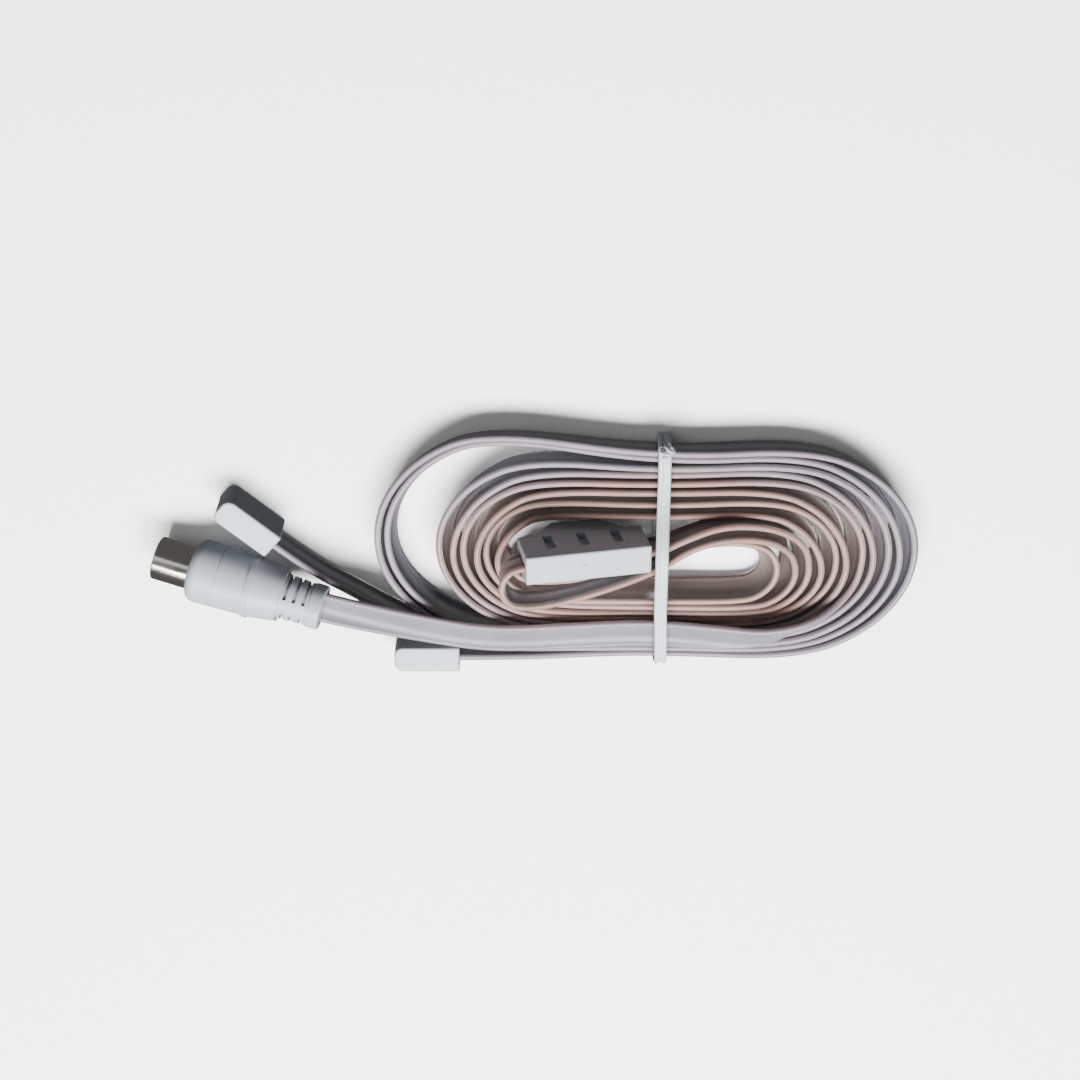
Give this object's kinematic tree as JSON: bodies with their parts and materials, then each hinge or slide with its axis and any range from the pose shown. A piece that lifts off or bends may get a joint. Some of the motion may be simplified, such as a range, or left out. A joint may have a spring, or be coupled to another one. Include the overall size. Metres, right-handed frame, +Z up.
{
  "type": "fm wire antenna",
  "caption": "T-shaped FM dipole aerial of clear flat twin-lead ribbon, wound in a tied hank, with moulded T-junction, end caps and a push-on coaxial plug.",
  "frame": {"origin": "centre of the bounding box, on the surface that the hank lies on", "axes": "+X along the hank away from the plug, +Y across it towards the loose loop, +Z up"},
  "size_m": [0.166, 0.0572, 0.0217],
  "materials": {
    "clear_ribbon": "clear",
    "white_plastic": "satin",
    "nickel": "plated",
    "tie_plastic": "satin"
  },
  "bodies": {
    "root": {"plug_sleeve": "nickel", "plug_pin": "nickel", "plug_insulator": "white_plastic", "plug_housing": "white_plastic", "lead_in_hank": "clear_ribbon", "lead_in_tail": "clear_ribbon", "left_arm_hank": "clear_ribbon", "left_arm_tail": "clear_ribbon", "right_arm_hank": "clear_ribbon", "right_arm_tail": "clear_ribbon", "tee_junction": "white_plastic", "left_arm_cap": "white_plastic", "right_arm_cap": "white_plastic", "tie_band": "tie_plastic"}
  },
  "joints": []
}
